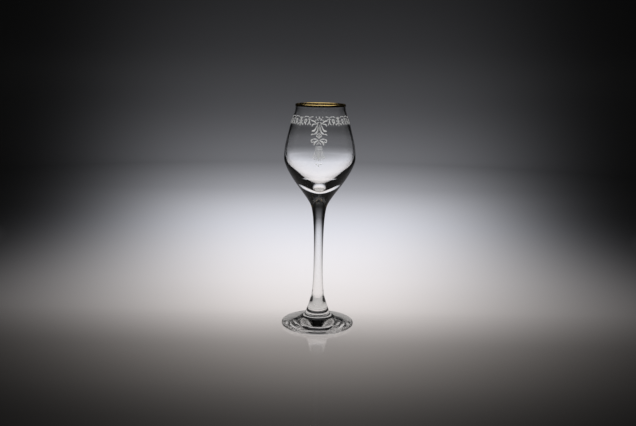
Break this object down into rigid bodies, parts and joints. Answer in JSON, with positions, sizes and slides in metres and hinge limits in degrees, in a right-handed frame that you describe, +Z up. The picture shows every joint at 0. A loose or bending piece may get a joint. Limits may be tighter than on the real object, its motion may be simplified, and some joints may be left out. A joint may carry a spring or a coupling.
{
  "type": "cordial glass",
  "caption": "Small clear stemmed glass with a tulip bowl on a solid base, a slim flared stem, a round foot, a gold lip and an etched leaf band.",
  "frame": {"origin": "centre of the foot's resting plane", "axes": "+Z up the axis of the glass; the front drop of leaves faces -Y"},
  "size_m": [0.0504, 0.0504, 0.1551],
  "materials": {
    "clear_glass": "fire polished clear soda glass, the leaf band on the bowl etched matt",
    "gilt": "fired and burnished gold"
  },
  "bodies": {
    "root": {"bowl": "clear_glass", "stem": "clear_glass", "foot": "clear_glass", "gilt_rim": "gilt"}
  },
  "joints": []
}
